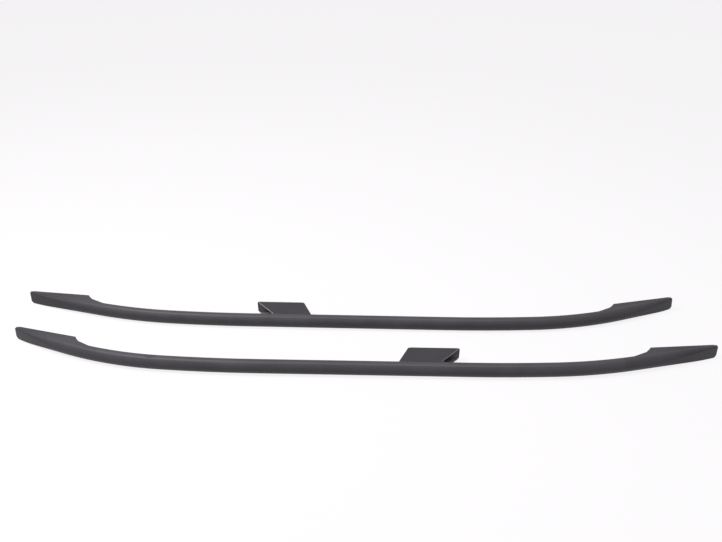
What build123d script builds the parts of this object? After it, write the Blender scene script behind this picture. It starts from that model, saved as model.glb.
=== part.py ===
from build123d import *
import os
from math import cos, degrees, radians, sin, tan

# A left and a right roof rail, lying on their sides as they rest on a floor. Millimetres and degrees.

# Bar: an oval extrusion in one plane, with a straight crown between two pairs of tangent bends
bar_width = 38.0                # across the car
bar_height = 31.5               # from the roof side to the sky side
bar_side_radius = 12.6          # of the section's arcs at its two sides
bore_width = 24.0
bore_height = 18.5
bar_lead = 12.37                # rise of the front end from the line between the rail's tips
front_bend_radius = 1205.0
front_bend_turn = 7.92
front_ease_radius = 3700.0
front_ease_turn = 3.3
crown_length = 515.0
rear_ease_radius = 3650.0
rear_ease_turn = 3.75
rear_bend_radius = 970.0
rear_bend_turn = 9.4

# End feet: wedges that carry the bar's oval down to a thin blunt tip on the roof
front_foot_length = 258.6       # from the bar's end to the tip, along the roof
front_foot_drop = 39.0          # from the bar's centre, at its end, to the roof
front_foot_tilt = 6.04          # between the bar's end and the roof
front_foot_turn = 1.6           # by which the bar's bend runs on into the foot
rear_foot_length = 264.5
rear_foot_drop = 29.7
rear_foot_tilt = 0.44
rear_foot_turn = 5.8
tip_height = 6.5
crest_lift = 0.3                # of the crest above the oval at the bar's end, so that it cuts in past it
front_tip_slant = 7.0           # by which a tip is shorter on the side that lies uppermost
rear_tip_slant = 10.5
tip_corner = 9.0                # of the tip's undermost corner
upper_tip_corner = 4.0
tip_flare = 0.5                 # of the tip's plan past the oval's sides
side_inset = 0.9                # of the base block's flanks from the oval's
heel_setback = 82.0             # from the bar's end to where the base starts
heel_run = 17.0                 # length of the chamfer at the heel
tail_stop = 3.0                 # from the bar's end to where the base block's tail runs out
foot_wall = 3.2
foot_core_stop = 26.0           # solid length at the tip
foot_core_rise = 6.0            # height of the hollow at its thin end

# Spigot of each foot, inside the end of the bar
spigot_gap = 0.2
spigot_length = 45.0

# Threaded sleeve for the roof bolt in each foot
bolt_setback = 62.0             # from the heel
thread_bore = 5.0
insert_width = 9.0              # across the flats of its hexagon
insert_length = 14.0
web_thickness = 15.0            # of the wall across the hollow that holds the sleeve
bolt_hole_diameter = 7.0        # clearance through the pads and the leg's base

# Mid leg: a hollow support with slanted open ends, screwed up under the bar
leg_station = 458.0             # along the bar, from its front end to the middle of the leg's base
leg_drop = 60.5                 # from the bar's centre to the roof
leg_base_length = 127.0
leg_front_lean = 44.2
leg_rear_lean = 25.3
leg_tuck = 1.0                  # of the leg's flanks inside the bar's
leg_side_wall = 3.0
leg_base_wall = 4.5
leg_saddle_wall = 3.0
leg_corner = 2.0
saddle_gap = 0.2
leg_bolt_place = 8.0            # from the middle of the base to its roof bolt
leg_screw_place = 36.0
screw_diameter = 6.0
screw_head_width = 10.0         # across the flats of its hexagon
screw_head_height = 4.0
access_hole_diameter = 14.5     # under the screw, through the base
nut_width = 10.0
nut_height = 6.0
plate_length = 34.0
plate_width = 14.0
plate_height = 5.0

# Rubber pads between the bases and the roof
pad_thickness = 2.5
pad_inset = 0.6
pad_corner = 4.0

# Common clearance
hole_gap = 0.1                  # round the screw or a sleeve in its hole

# How the pair lies: the right rail beyond the left one, turned end for end and a little askew
right_rail_along = -1323.6
right_rail_away = 156.1
right_rail_skew = 1.97

half_width = bar_width / 2
half_height = bar_height / 2
bolt_place = heel_setback + bolt_setback         # from the bar's end, along the base
side_centre = half_width - bar_side_radius      # of a side arc of the bar's section
side_gap = half_height - bar_side_radius        # between a side arc's top and the bar's
crown_radius = (side_centre ** 2 + half_height ** 2 - bar_side_radius ** 2) / (2 * side_gap)
crown_centre = half_height - crown_radius       # of the arc on its sky side
leg_half_width = half_width - leg_tuck
leg_sole = pad_thickness - leg_drop             # level of the leg's base below the bar's centre
screw_seat = -half_height - saddle_gap - leg_saddle_wall
screw_reach = plate_height - bore_height / 2 - screw_seat
beyond = 4 * bar_height                         # reach of cuts that pass right through
up_cut = (Align.CENTER, Align.CENTER, Align.MIN)


def bar_oval(plane, margin=0.0):
    """The bar's section of four tangent arcs, grown by margin; the plane's x axis lies across the car."""
    wide, tall, crown = half_width + margin, half_height + margin, crown_radius + margin
    along = Vector(side_centre, -crown_centre).normalized()
    meet = Vector(0, crown_centre) + along * crown
    corners = [meet, Vector(meet.X, -meet.Y), -meet, Vector(-meet.X, meet.Y)]
    poles = [Vector(0, tall), Vector(wide, 0), Vector(0, -tall), Vector(-wide, 0)]
    arcs = [ThreePointArc(corners[i - 1], poles[i], corners[i]) for i in range(4)]
    return plane * make_face(arcs)


def drill(diameter, depth):
    """Cutter for a round hole from the origin along +Z."""
    return Cylinder(diameter / 2, depth, align=up_cut)


def rising(x, y):
    """Plane at a point of a foot's or leg's side view, facing the sky."""
    return Plane(origin=(x, y, 0), x_dir=(1, 0, 0), z_dir=(0, 1, 0))


def bar_path():
    """The bar's centre line from front to rear, front end at the origin and sky towards -Y."""
    heading = Vector(cos(radians(bar_lead)), -sin(radians(bar_lead)), 0)
    front_bend = JernArc((0, 0, 0), heading, front_bend_radius, front_bend_turn)
    front_ease = JernArc(front_bend @ 1, front_bend % 1, front_ease_radius, front_ease_turn)
    crown = Line(front_ease @ 1, front_ease @ 1 + (front_ease % 1) * crown_length)
    rear_ease = JernArc(crown @ 1, crown % 1, rear_ease_radius, rear_ease_turn)
    rear_bend = JernArc(rear_ease @ 1, rear_ease % 1, rear_bend_radius, rear_bend_turn)
    return Wire([front_bend, front_ease, crown, rear_ease, rear_bend])


def foot_place(bar_end, outwards, lateral, tilt, drop):
    """Place of a foot's side view: x along the roof to the tip, y to the sky, origin under the bar's end."""
    return Location(Plane(bar_end, outwards, lateral)) * Rot(0, 0, tilt) * Pos(0, -drop, 0)


def foot_body(length, drop, tilt, bend_radius, turn):
    """The bar's oval bent on and carried past the tip, then cut flat along the foot's crest."""
    lean = Vector(cos(radians(tilt)), -sin(radians(tilt)), 0)
    sky = Vector(-lean.Y, lean.X, 0)
    mouth = Plane(origin=(0, drop, 0), x_dir=(0, 0, 1), z_dir=lean)
    bend = JernArc(mouth.origin, lean, bend_radius, -turn)
    run = Line(bend @ 1, bend @ 1 + (bend % 1) * length)
    crest_start = mouth.origin + sky * (half_height + crest_lift)
    crest = TangentArc(crest_start, Vector(length, tip_height, 0), tangent=lean)
    under = Polyline(
        crest @ 1,
        crest @ 1 + (crest % 1) * bar_height,
        (length + bar_height, -beyond),
        (-bar_height, -beyond),
        crest_start - lean * bar_height,
        crest_start,
    )
    oval = sweep(bar_oval(mouth), path=Wire([bend, run]))
    return oval & extrude(make_face([crest, under]), amount=bar_width, both=True)


def foot_plan(start, end, edge, slant):
    """Plan of a foot of half width edge; its tip is shorter towards +Z, or -Z if slant is negative."""
    corners = (upper_tip_corner, tip_corner) if slant > 0 else (tip_corner, upper_tip_corner)
    return make_face(FilletPolyline(
        (start, -edge),
        (end - max(slant, 0), -edge),
        (end - max(-slant, 0), edge),
        (start, edge),
        radius=(0, *corners, 0),
        close=True,
    ))


def foot_blank(length, drop, tilt, bend_radius, turn, slant):
    """Outside of a foot: its body on a flat-sided base block with a chamfered heel and a tail."""
    slope = tan(radians(tilt))
    heel_top = heel_setback - heel_run
    side = Polyline(
        (heel_setback, pad_thickness),
        (heel_top, drop - half_height / cos(radians(tilt)) - heel_top * slope),
        (tail_stop, drop - tail_stop * slope),
        (length, pad_thickness),
        close=True,
    )
    block = extrude(make_face(side), amount=half_width - side_inset, both=True)
    plan = foot_plan(-bar_height, length, half_width + tip_flare, slant)
    trim = extrude(rising(0, pad_thickness) * plan, amount=beyond)
    return (foot_body(length, drop, tilt, bend_radius, turn) + block) & trim


def foot_core(length, drop, tilt):
    """Hollow under a foot, with the web for its sleeve left standing."""
    start = heel_setback + foot_wall
    end = length - foot_core_stop
    clear_width = bar_width - 2 * (side_inset + foot_wall)
    side = Polyline(
        (start, pad_thickness),
        (start, drop - start * tan(radians(tilt))),
        (end, pad_thickness + foot_core_rise),
        (end, pad_thickness),
        close=True,
    )
    core = extrude(make_face(side), amount=clear_width / 2, both=True)
    return core - Pos(bolt_place, 0, 0) * Box(web_thickness, beyond, bar_width)


def hexagon(width, length):
    """Hexagonal bar from the origin along +Z, width across its flats."""
    return extrude(RegularPolygon(width / 2, 6, major_radius=False), amount=length)


def end_foot(length, drop, tilt, bend_radius, turn, slant):
    """Foot in its own side view, with a curved spigot that fills the end of the bar's bore."""
    inwards = Vector(-cos(radians(tilt)), sin(radians(tilt)), 0)
    mouth = Plane(origin=(0, drop, 0), x_dir=(0, 0, 1), z_dir=inwards)
    spigot_path = JernArc(mouth.origin, inwards, bend_radius, degrees(spigot_length / bend_radius))
    section = mouth * Rectangle(bore_width - 2 * spigot_gap, bore_height - 2 * spigot_gap)
    foot = foot_blank(length, drop, tilt, bend_radius, turn, slant) + sweep(section, path=spigot_path)
    pocket = hexagon(insert_width + 2 * hole_gap, insert_length + hole_gap)
    return foot - foot_core(length, drop, tilt) - rising(bolt_place, pad_thickness) * pocket


def foot_pad(length, slant):
    """Rubber pad under a foot, with a hole for its bolt."""
    edge = half_width - side_inset - pad_inset
    outline = foot_plan(heel_setback + pad_inset, length - tip_height / 2, edge, slant)
    pad = extrude(rising(0, 0) * outline, amount=pad_thickness)
    return pad - rising(bolt_place, 0) * drill(bolt_hole_diameter, pad_thickness)


def foot_insert():
    """Threaded sleeve of a foot, flush with its base."""
    sleeve = hexagon(insert_width, insert_length) - drill(thread_bore, insert_length)
    return rising(bolt_place, pad_thickness) * sleeve


def leg_outline(level):
    """Front and rear ends of the leg's side view at a level below the bar's centre."""
    rise = level + leg_drop
    front = rise * tan(radians(leg_front_lean)) - leg_base_length / 2
    rear = rise * tan(radians(leg_rear_lean)) + leg_base_length / 2
    return front, rear


def mid_leg():
    """Hollow leg with a saddle that follows the bar's underside, in its own side view."""
    sole_front, sole_rear = leg_outline(leg_sole)
    top_front, top_rear = leg_outline(0)
    side = Polyline((sole_front, leg_sole), (sole_rear, leg_sole), (top_rear, 0), (top_front, 0), close=True)
    leg = extrude(make_face(side), amount=leg_half_width, both=True)
    leg = fillet(leg.edges().filter_by(Axis.X).group_by(Axis.Y)[0], leg_corner)
    across = Plane(origin=(0, 0, 0), x_dir=(0, 0, 1), z_dir=(1, 0, 0))
    channel_floor = leg_sole + leg_base_wall
    channel_width = 2 * (leg_half_width - leg_side_wall)
    channel = Pos(0, channel_floor / 2, 0) * Box(beyond * 2, -channel_floor, channel_width)
    channel -= extrude(bar_oval(across, saddle_gap + leg_saddle_wall), amount=beyond, both=True)
    leg -= channel
    leg -= extrude(bar_oval(across, saddle_gap), amount=beyond, both=True)
    leg -= rising(leg_bolt_place, leg_sole) * drill(bolt_hole_diameter, leg_base_wall)
    leg -= rising(leg_screw_place, leg_sole) * drill(access_hole_diameter, leg_base_wall)
    return leg - screw_hole()


def leg_pad():
    """Rubber pad under the leg's base."""
    width = 2 * (leg_half_width - leg_corner)
    outline = RectangleRounded(leg_base_length - 2 * pad_inset, width, pad_corner)
    pad = extrude(rising(0, -leg_drop) * outline, amount=pad_thickness)
    return pad - rising(leg_bolt_place, -leg_drop) * drill(bolt_hole_diameter, pad_thickness)


def leg_nut():
    """Weld nut on the inside of the leg's base, for its roof bolt."""
    nut = hexagon(nut_width, nut_height) - drill(thread_bore, nut_height)
    return rising(leg_bolt_place, leg_sole + leg_base_wall) * nut


def screw_hole():
    """Cutter for the leg's screw, from under the saddle into the bar's bore."""
    return rising(leg_screw_place, screw_seat) * drill(screw_diameter + 2 * hole_gap, -screw_seat)


def nut_plate():
    """Tapped plate on the floor of the bar's bore, for the leg's screw."""
    outline = rising(leg_screw_place, -bore_height / 2) * Rectangle(plate_length, plate_width)
    return extrude(outline, amount=plate_height) - screw_hole()


def leg_screw():
    """Hexagon-head screw from inside the leg up into the nut plate."""
    head = Pos(0, 0, -screw_head_height) * hexagon(screw_head_width, screw_head_height)
    return rising(leg_screw_place, screw_seat) * (head + drill(screw_diameter, screw_reach))


def rail_places(path):
    """Places of the side views of the front foot, the rear foot and the leg, on the bar's own plane."""
    leg_at = path.position_at(leg_station, position_mode=PositionMode.LENGTH)
    leg_heading = path.tangent_at(leg_station, position_mode=PositionMode.LENGTH)
    return {
        "front": foot_place(path @ 0, -(path % 0), (0, 0, 1), front_foot_tilt, front_foot_drop),
        "rear": foot_place(path @ 1, path % 1, (0, 0, -1), rear_foot_tilt, rear_foot_drop),
        "leg": Location(Plane(origin=leg_at, x_dir=leg_heading, z_dir=(0, 0, -1))),
    }


def rail():
    """All pieces of the right rail, with the bar's centre line on the ground plane."""
    path = bar_path()
    places = rail_places(path)
    mouth = Plane(origin=path @ 0, x_dir=(0, 0, 1), z_dir=path % 0)
    bar = sweep(bar_oval(mouth), path=path) - sweep(mouth * Rectangle(bore_width, bore_height), path=path)
    pieces = {
        "bar": bar - places["leg"] * screw_hole(),
        "mid_leg": places["leg"] * mid_leg(),
        "mid_pad": places["leg"] * leg_pad(),
        "leg_nut": places["leg"] * leg_nut(),
        "leg_screw": places["leg"] * leg_screw(),
        "nut_plate": places["leg"] * nut_plate(),
    }
    feet = {
        "front": (front_foot_length, front_foot_drop, front_foot_tilt, front_bend_radius, front_foot_turn),
        "rear": (rear_foot_length, rear_foot_drop, rear_foot_tilt, rear_bend_radius, rear_foot_turn),
    }
    slants = {"front": front_tip_slant, "rear": -rear_tip_slant}
    inserts = []
    for end, (length, drop, tilt, bend_radius, turn) in feet.items():
        pieces[end + "_foot"] = places[end] * end_foot(length, drop, tilt, bend_radius, turn, slants[end])
        pieces[end + "_pad"] = places[end] * foot_pad(length, slants[end])
        inserts.append(places[end] * foot_insert())
    pieces["inserts"] = Compound(inserts)
    return pieces


def lay(shape, side):
    """Place a piece of the right rail as it lies in the pair, on the side named."""
    if side == "left":
        return shape.mirror(Plane.YZ)
    return Location((right_rail_along, right_rail_away, 0), (0, 0, right_rail_skew)) * shape


def pair():
    """Every piece of both rails by name, with the origin under the middle of the pair."""
    pieces = {}
    for name, shape in rail().items():
        for side in ("left", "right"):
            pieces[side + "_" + name] = lay(shape, side)
    box = Compound(list(pieces.values())).bounding_box()
    to_origin = Pos(-box.center().X, -box.center().Y, -box.min.Z)
    return {name: to_origin * shape for name, shape in pieces.items()}


os.makedirs("parts", exist_ok=True)
for node, solid in pair().items():
    export_step(solid, "parts/" + node + ".step")
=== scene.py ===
import math
import bpy
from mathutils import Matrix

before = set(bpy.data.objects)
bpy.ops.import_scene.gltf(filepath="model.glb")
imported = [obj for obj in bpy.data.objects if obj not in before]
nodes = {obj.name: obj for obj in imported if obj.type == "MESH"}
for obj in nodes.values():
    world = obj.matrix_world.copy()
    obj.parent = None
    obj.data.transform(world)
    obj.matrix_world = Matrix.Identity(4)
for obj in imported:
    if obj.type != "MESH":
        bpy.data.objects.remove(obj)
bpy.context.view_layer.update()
print("loaded", len(nodes), "solids of the two rails")


class Wire:  # a shader socket that takes part in sums
    def __init__(self, finish, socket):
        self.finish = finish
        self.socket = socket

    def sum(self, operation, first, second=0.0):
        return self.finish.add("ShaderNodeMath", {"operation": operation}, {0: first, 1: second})

    def __add__(self, other):
        return self.sum("ADD", self, other)

    def __radd__(self, other):
        return self.sum("ADD", other, self)

    def __sub__(self, other):
        return self.sum("SUBTRACT", self, other)

    def __rsub__(self, other):
        return self.sum("SUBTRACT", other, self)

    def __mul__(self, other):
        return self.sum("MULTIPLY", self, other)

    def __rmul__(self, other):
        return self.sum("MULTIPLY", other, self)

    def __abs__(self):
        return self.sum("ABSOLUTE", self)

    def ripple(self, pitch):  # a wave from -1 to 1, one crest per pitch
        return self.sum("SINE", self * (2 * math.pi / pitch))

    def axis(self, which):
        return self.finish.add("ShaderNodeSeparateXYZ", None, {0: self}, out=which)


class Finish:  # a material or world and its nodes
    def __init__(self, name, kind="materials"):
        self.block = getattr(bpy.data, kind).new(name)
        self.block.use_nodes = True
        self.tree = self.block.node_tree
        self.tree.nodes.clear()

    def add(self, kind, settings=None, sockets=None, out=0):
        node = self.tree.nodes.new(kind)
        for key, value in (settings or {}).items():
            setattr(node, key, value)
        for key, value in (sockets or {}).items():
            if isinstance(value, Wire):
                self.tree.links.new(value.socket, node.inputs[key])
            else:
                node.inputs[key].default_value = value
        return Wire(self, node.outputs[out]) if len(node.outputs) else None

    def place(self):
        return self.add("ShaderNodeTexCoord", out=3)  # object coordinates, in metres

    def facing(self):
        return self.add("ShaderNodeNewGeometry", out=1)  # the surface's own normal

    def noise(self, scale, detail=2.0, stretch=1.0):  # stretch draws it out along the rail
        place = self.add("ShaderNodeVectorMath", {"operation": "MULTIPLY"}, {0: self.place(), 1: (1 / stretch, 1, 1)})
        return self.add("ShaderNodeTexNoise", None, {"Vector": place, "Scale": scale, "Detail": detail})

    def band(self, value, low, high):  # smooth step from 0 to 1
        return self.add("ShaderNodeMapRange", {"interpolation_type": "SMOOTHSTEP"}, {
            "Value": value, "From Min": low, "From Max": high,
        })

    def blend(self, factor, first, second):  # of two colours
        return self.add("ShaderNodeMix", {"data_type": "RGBA"}, {0: factor, 6: first, 7: second}, out=2)

    def lean(self, factor, first, second):  # from one normal to another
        return self.add("ShaderNodeMix", {"data_type": "VECTOR"}, {0: factor, 4: first, 5: second}, out=1)

    def mixed(self, factor, first, second):  # of two shaders
        return self.add("ShaderNodeMixShader", None, {0: factor, 1: first, 2: second})

    def rounded(self, radius):  # the normal as if the edges had this radius
        return self.add("ShaderNodeBevel", {"samples": 6}, {"Radius": radius})

    def bump(self, height, strength, depth, under):  # on top of the normal under it
        return self.add("ShaderNodeBump", None, {
            "Height": height, "Strength": strength, "Distance": depth, "Normal": under,
        })

    def shown(self):  # 1 for rays that show a background, 0 for those that carry its light
        camera, glossy, clear = (self.add("ShaderNodeLightPath", out=which) for which in (0, 3, 6))
        return camera + glossy + clear

    def surface(self, sockets):
        return self.output(self.add("ShaderNodeBsdfPrincipled", None, sockets))

    def output(self, shader, kind="ShaderNodeOutputMaterial"):
        self.add(kind, None, {"Surface": shader})
        return self.block


satinCoat = {
    "dark": (0.050, 0.045, 0.053, 1), "pale": (0.060, 0.055, 0.064, 1), "cloud": 14.0, "cloudRange": (0.35, 0.65),
    "scuff": (0.092, 0.087, 0.096, 1), "scuffScale": 70.0, "scuffStretch": 14.0, "scuffRange": (0.62, 0.78),
    "scuffShare": 0.4, "scuffRoughness": 0.06,
    "dust": (0.145, 0.135, 0.150, 1), "dustScale": 420.0, "dustRange": (0.70, 0.78), "dustShare": 0.35,
    "roughness": 0.44, "roughnessSpread": 0.10, "specular": 0.31,
    "peel": 900.0, "peelStrength": 0.35, "peelDepth": 0.00018, "edge": 0.0003,
}
legCoat = {  # darker than the bar's coat; painted light on the surfaces inside the channel, and bare metal with a painted highlight where the plates are sawn off
    **satinCoat, "dark": (0.024, 0.021, 0.026, 1), "pale": (0.030, 0.027, 0.032, 1), "edge": 0.0008,
    "bareAndHighlight": (0.60, 0.60, 0.61, 1), "sawnRange": (0.5, 0.7),
    "inside": (0.170, 0.164, 0.174, 1), "middle": 0.019, "flankRange": (0.0150, 0.0156),
}


def makeCoat(name, coat):
    f = Finish(name)
    cloud = f.noise(coat["cloud"], detail=3.0)
    dust = f.band(f.noise(coat["dustScale"], detail=1.0), *coat["dustRange"])
    scuff = f.band(f.noise(coat["scuffScale"], detail=4.0, stretch=coat["scuffStretch"]), *coat["scuffRange"])
    tone = f.blend(f.band(cloud, *coat["cloudRange"]), coat["dark"], coat["pale"])
    tone = f.blend(scuff * coat["scuffShare"], tone, coat["scuff"])
    tone = f.blend(dust * coat["dustShare"], tone, coat["dust"])
    if "bareAndHighlight" in coat:
        sawn = f.band(abs(f.facing().axis(0)), *coat["sawnRange"])
        flank = f.band(abs(f.place().axis(2) - coat["middle"]), *coat["flankRange"])
        # painted light: a pale tone on the surfaces between the outer plates, inside the channel
        tone = f.blend((1 - sawn) * (1 - flank), tone, coat["inside"])
        # bare metal and a painted highlight on the sawn ends of the outer plates
        tone = f.blend(sawn * flank, tone, coat["bareAndHighlight"])
    return f.surface({
        "Base Color": tone,
        "Roughness": cloud * coat["roughnessSpread"] + scuff * coat["scuffRoughness"] + coat["roughness"],
        "Normal": f.bump(f.noise(coat["peel"]), coat["peelStrength"], coat["peelDepth"], f.rounded(coat["edge"])),
        "Specular IOR Level": coat["specular"],
    })


footMoulding = {
    "dark": (0.050, 0.045, 0.053, 1), "pale": (0.060, 0.055, 0.064, 1), "cloud": 11.0, "cloudRange": (0.35, 0.65),
    "rub": (0.085, 0.079, 0.091, 1), "rubScale": 38.0, "rubStretch": 5.0, "rubRange": (0.60, 0.80), "rubShare": 0.4,
    "tip": (0.026, 0.023, 0.029, 1), "tipRange": (0.70, 0.86), "tipCloud": 0.3,
    "roughness": 0.44, "roughnessSpread": 0.10, "specular": 0.29,
    "grain": 1400.0, "grainStrength": 0.4, "grainDepth": 0.00030, "edge": 0.004, "edgeRange": (0.67, 0.70),
}


def makeFootMoulding():
    f = Finish("footMoulding")
    cloud = f.noise(footMoulding["cloud"], detail=3.0)
    rub = f.noise(footMoulding["rubScale"], detail=4.0, stretch=footMoulding["rubStretch"])
    rub = f.band(rub, *footMoulding["rubRange"])
    along = abs(f.place().axis(0))  # from the middle of the pair towards either end
    tipShade = f.band(along, *footMoulding["tipRange"])
    tone = f.blend(f.band(cloud, *footMoulding["cloudRange"]), footMoulding["dark"], footMoulding["pale"])
    # painted shade: towards either end the feet turn darker
    tone = f.blend(tipShade * (1 - cloud * footMoulding["tipCloud"]), tone, footMoulding["tip"])
    grain = f.noise(footMoulding["grain"], detail=1.5)
    beyond = f.band(along, *footMoulding["edgeRange"])  # so that the joint with the bar stays crisp
    edged = f.lean(beyond, f.facing(), f.rounded(footMoulding["edge"]))
    return f.surface({
        "Base Color": f.blend(rub * footMoulding["rubShare"], tone, footMoulding["rub"]),
        "Roughness": cloud * footMoulding["roughnessSpread"] + footMoulding["roughness"],
        "Normal": f.bump(grain, footMoulding["grainStrength"], footMoulding["grainDepth"], edged),
        "Specular IOR Level": footMoulding["specular"],
    })


padRubber = {
    "dark": (0.016, 0.016, 0.017, 1), "pale": (0.030, 0.030, 0.031, 1), "cloud": 60.0,
    "roughness": 0.72, "roughnessSpread": 0.12, "edge": 0.001,
    "ribPitch": 0.004, "ribShare": 0.5, "grain": 1800.0, "grainShare": 0.1, "strength": 0.6, "depth": 0.0003,
}


def makePadRubber():
    f = Finish("padRubber")
    cloud = f.noise(padRubber["cloud"], detail=4.0)
    ribs = f.place().axis(0).ripple(padRubber["ribPitch"])
    relief = ribs * padRubber["ribShare"] + f.noise(padRubber["grain"]) * padRubber["grainShare"]
    return f.surface({
        "Base Color": f.blend(cloud, padRubber["dark"], padRubber["pale"]),
        "Roughness": cloud * padRubber["roughnessSpread"] + padRubber["roughness"],
        "Normal": f.bump(relief, padRubber["strength"], padRubber["depth"], f.rounded(padRubber["edge"])),
    })


sleeveBrass = {
    "bright": (0.74, 0.56, 0.27, 1), "dull": (0.52, 0.38, 0.18, 1), "cloud": 180.0,
    "roughness": 0.24, "roughnessSpread": 0.2, "edge": 0.0003,
    "threadPitch": 0.001, "threadStrength": 0.5, "threadDepth": 0.0005,
}


def makeSleeveBrass():
    f = Finish("sleeveBrass")
    cloud = f.noise(sleeveBrass["cloud"], detail=3.0)
    thread = f.place().axis(1).ripple(sleeveBrass["threadPitch"])
    edged = f.rounded(sleeveBrass["edge"])
    return f.surface({
        "Base Color": f.blend(cloud, sleeveBrass["bright"], sleeveBrass["dull"]),
        "Metallic": 1.0,
        "Roughness": cloud * sleeveBrass["roughnessSpread"] + sleeveBrass["roughness"],
        "Normal": f.bump(thread, sleeveBrass["threadStrength"], sleeveBrass["threadDepth"], edged),
    })


fixingSteel = {
    "bright": (0.58, 0.58, 0.60, 1), "dull": (0.40, 0.41, 0.43, 1), "cloud": 220.0,
    "roughness": 0.26, "roughnessSpread": 0.2,
}


def makeFixingSteel():
    f = Finish("fixingSteel")
    cloud = f.noise(fixingSteel["cloud"], detail=3.0)
    return f.surface({
        "Base Color": f.blend(cloud, fixingSteel["bright"], fixingSteel["dull"]),
        "Metallic": 1.0,
        "Roughness": cloud * fixingSteel["roughnessSpread"] + fixingSteel["roughness"],
    })


finishes = {  # by the last word of a solid's name
    "bar": makeCoat("satinCoat", satinCoat), "leg": makeCoat("legCoat", legCoat), "foot": makeFootMoulding(),
    "pad": makePadRubber(), "inserts": makeSleeveBrass(),
}
steel = makeFixingSteel()  # screws, nuts and plates
for name, piece in nodes.items():
    piece.data.materials.clear()
    piece.data.materials.append(finishes.get(name.split("_")[-1], steel))
print("finished", len(nodes), "solids")

floorSheet = {
    "size": 90.0, "bounce": (0.32, 0.32, 0.32, 1), "seen": (0.95, 0.94, 0.95, 1), "white": (1.0, 0.985, 1.0, 1),
    "whiteShare": 0.86,  # the rest is matt and takes the shadow
}


def layFloor():
    half = floorSheet["size"] / 2
    mesh = bpy.data.meshes.new("floor")
    mesh.from_pydata([(-half, -half, 0), (half, -half, 0), (half, half, 0), (-half, half, 0)], [], [(0, 1, 2, 3)])
    floor = bpy.data.objects.new("floor", mesh)
    bpy.context.scene.collection.objects.link(floor)
    f = Finish("floorPaper")
    bounce, seen = (f.add("ShaderNodeBsdfDiffuse", None, {"Color": floorSheet[tone]}) for tone in ("bounce", "seen"))
    white = f.add("ShaderNodeEmission", None, {"Color": floorSheet["white"], "Strength": 1.0})
    paper = f.mixed(floorSheet["whiteShare"], seen, white)
    mesh.materials.append(f.output(f.mixed(f.shown(), bounce, paper)))


layFloor()
print("laid the floor")

studio = {
    "worldTone": (1.0, 0.99, 1.0, 1), "worldLevel": 0.30, "whiteLevel": 1.0,
    "softboxes": {
        "leftBox": {"power": 35.0, "size": 0.9, "place": (-1.3, -0.25, 2.0), "aim": (-0.8, 0.0, 0.0)},
        "rightBox": {"power": 17.0, "size": 0.9, "place": (0.4, -0.25, 2.0), "aim": (0.3, 0.0, 0.0)},
    },
}


def lightStudio():
    f = Finish("studio", "worlds")
    soft, white = (
        f.add("ShaderNodeBackground", None, {"Color": studio["worldTone"], "Strength": studio[level]})
        for level in ("worldLevel", "whiteLevel")
    )
    bpy.context.scene.world = f.output(f.mixed(f.shown(), soft, white), "ShaderNodeOutputWorld")
    for name, box in studio["softboxes"].items():
        lamp = bpy.data.lights.new(name, "AREA")
        lamp.energy = box["power"]
        lamp.shape = "SQUARE"
        lamp.size = box["size"]
        holder = bpy.data.objects.new(name, lamp)
        holder.location = box["place"]
        ahead = [a - p for a, p in zip(box["aim"], box["place"])]
        flat = math.hypot(ahead[0], ahead[1])
        holder.rotation_euler = (math.atan2(flat, -ahead[2]), 0, math.atan2(-ahead[0], ahead[1]))
        bpy.context.scene.collection.objects.link(holder)


lightStudio()
bpy.context.scene.view_settings.view_transform = "Standard"
print("lit the studio")

viewpoint = {"sensor": 36.0, "lens": 30.952, "place": (0.077559, -1.262327, 1.048005), "pitch": 33.684, "yaw": 2.6194}


def setCamera():
    data = bpy.data.cameras.new("viewpoint")
    data.sensor_width = viewpoint["sensor"]
    data.lens = viewpoint["lens"]
    camera = bpy.data.objects.new("viewpoint", data)
    camera.location = viewpoint["place"]
    camera.rotation_euler = (math.radians(90 - viewpoint["pitch"]), 0, math.radians(viewpoint["yaw"]))
    bpy.context.scene.collection.objects.link(camera)
    bpy.context.scene.camera = camera


setCamera()
print("set the camera")
